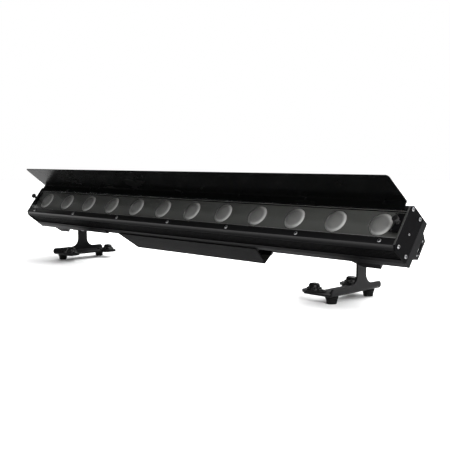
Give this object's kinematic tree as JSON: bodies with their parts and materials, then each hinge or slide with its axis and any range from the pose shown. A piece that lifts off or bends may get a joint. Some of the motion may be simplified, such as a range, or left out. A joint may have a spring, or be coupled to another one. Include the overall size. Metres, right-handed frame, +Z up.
{
  "type": "led wash bar",
  "caption": "Black stage wash bar with a row of frosted lenses behind glass, a full-length visor and two tilting floor brackets that slide on rear rails.",
  "frame": {"origin": "on the floor under the middle of the whole object's bounding box", "axes": "+X along the bar, to the right of a viewer who faces the lenses; +Y from the lens side to the back; +Z up"},
  "size_m": [1.018, 0.1408, 0.2063],
  "materials": {
    "black_paint": "fine satin black powder coat",
    "black_anodised": "black anodised extrusion",
    "grey_anodised": "dark grey anodised extrusion",
    "black_plastic": "matte black moulded plastic",
    "black_rubber": "matte black rubber",
    "window_glass": "clear polished glass",
    "mask_grey": "matte dark olive grey",
    "frosted_lens": "frosted moulded lens",
    "board_green": "solder mask",
    "bright_steel": "zinc plated",
    "display_black": "black glass over the display"
  },
  "bodies": {
    "bar": {"visor": "black_paint", "end_plate_left": "black_paint", "end_plate_right": "black_paint", "window_clip_left": "black_paint", "window_clip_right": "black_paint", "electronics_box": "black_paint", "rear_panel": "black_paint", "heatsink_body": "black_anodised", "bezel_lower": "black_anodised", "bezel_upper": "black_anodised", "rail_left": "black_anodised", "rail_right": "black_anodised", "rear_cover_left": "grey_anodised", "rear_cover_middle": "grey_anodised", "rear_cover_right": "grey_anodised", "rear_end_plate_left": "grey_anodised", "rear_end_plate_right": "grey_anodised", "power_inlet": "black_plastic", "power_outlet": "black_plastic", "data_inlet": "black_plastic", "data_outlet": "black_plastic", "front_glass": "window_glass", "lens_mask": "mask_grey", "lens_01": "frosted_lens", "lens_02": "frosted_lens", "lens_03": "frosted_lens", "lens_04": "frosted_lens", "lens_05": "frosted_lens", "lens_06": "frosted_lens", "lens_07": "frosted_lens", "lens_08": "frosted_lens", "lens_09": "frosted_lens", "lens_10": "frosted_lens", "lens_11": "frosted_lens", "lens_12": "frosted_lens", "led_board": "board_green", "control_board": "board_green", "power_supply": "bright_steel", "display_window": "display_black"},
    "clamp_left": {"rail_clamp_left": "black_anodised", "pivot_bolt_left": "bright_steel"},
    "bracket_left": {"bracket_left_plate": "black_paint", "foot_left_front": "black_rubber", "foot_left_back": "black_rubber"},
    "quick_lock_left_front": {"quick_lock_left_front": "black_plastic"},
    "quick_lock_left_back": {"quick_lock_left_back": "black_plastic"},
    "thumb_knob_left": {"thumb_knob_left": "black_plastic"},
    "clamp_right": {"rail_clamp_right": "black_anodised", "pivot_bolt_right": "bright_steel"},
    "bracket_right": {"bracket_right_plate": "black_paint", "foot_right_front": "black_rubber", "foot_right_back": "black_rubber"},
    "quick_lock_right_front": {"quick_lock_right_front": "black_plastic"},
    "quick_lock_right_back": {"quick_lock_right_back": "black_plastic"},
    "thumb_knob_right": {"thumb_knob_right": "black_plastic"},
    "button_menu": {"button_menu": "black_rubber"},
    "button_up": {"button_up": "black_rubber"},
    "button_down": {"button_down": "black_rubber"},
    "button_enter": {"button_enter": "black_rubber"}
  },
  "joints": [
    {"name": "slide_left", "type": "slide", "parent": "bar", "child": "clamp_left", "axis": [1, 0, 0], "range_m": [-0.044, 0.13]},
    {"name": "tilt_left", "type": "hinge", "parent": "clamp_left", "child": "bracket_left", "pos_m": [-0.398, 0.01531, 0.0706], "axis": [1, 0, 0], "range_deg": [-38, 100]},
    {"name": "turn_lock_left_front", "type": "hinge", "parent": "bracket_left", "child": "quick_lock_left_front", "pos_m": [-0.349, -0.04709, 0.0163], "axis": [0, 0, 1], "range_deg": [0, 90]},
    {"name": "turn_lock_left_back", "type": "hinge", "parent": "bracket_left", "child": "quick_lock_left_back", "pos_m": [-0.349, 0.05391, 0.0163], "axis": [0, 0, 1], "range_deg": [0, 90]},
    {"name": "turn_knob_left", "type": "hinge", "parent": "bar", "child": "thumb_knob_left", "pos_m": [-0.5005, -0.04052, 0.13482], "axis": [0, 0.7965, -0.6046], "continuous": true},
    {"name": "slide_right", "type": "slide", "parent": "bar", "child": "clamp_right", "axis": [1, 0, 0], "range_m": [-0.13, 0.044]},
    {"name": "tilt_right", "type": "hinge", "parent": "clamp_right", "child": "bracket_right", "pos_m": [0.398, 0.01531, 0.0706], "axis": [1, 0, 0], "range_deg": [-38, 100]},
    {"name": "turn_lock_right_front", "type": "hinge", "parent": "bracket_right", "child": "quick_lock_right_front", "pos_m": [0.349, -0.04709, 0.0163], "axis": [0, 0, 1], "range_deg": [0, 90]},
    {"name": "turn_lock_right_back", "type": "hinge", "parent": "bracket_right", "child": "quick_lock_right_back", "pos_m": [0.349, 0.05391, 0.0163], "axis": [0, 0, 1], "range_deg": [0, 90]},
    {"name": "turn_knob_right", "type": "hinge", "parent": "bar", "child": "thumb_knob_right", "pos_m": [0.5005, -0.04052, 0.13482], "axis": [0, 0.7965, -0.6046], "continuous": true},
    {"name": "press_menu", "type": "slide", "parent": "bar", "child": "button_menu", "axis": [0, -0.7965, 0.6046], "range_m": [0, 0.0012], "stiffness_N_per_m": 400, "springref_m": -0.001},
    {"name": "press_up", "type": "slide", "parent": "bar", "child": "button_up", "axis": [0, -0.7965, 0.6046], "range_m": [0, 0.0012], "stiffness_N_per_m": 400, "springref_m": -0.001},
    {"name": "press_down", "type": "slide", "parent": "bar", "child": "button_down", "axis": [0, -0.7965, 0.6046], "range_m": [0, 0.0012], "stiffness_N_per_m": 400, "springref_m": -0.001},
    {"name": "press_enter", "type": "slide", "parent": "bar", "child": "button_enter", "axis": [0, -0.7965, 0.6046], "range_m": [0, 0.0012], "stiffness_N_per_m": 400, "springref_m": -0.001}
  ]
}
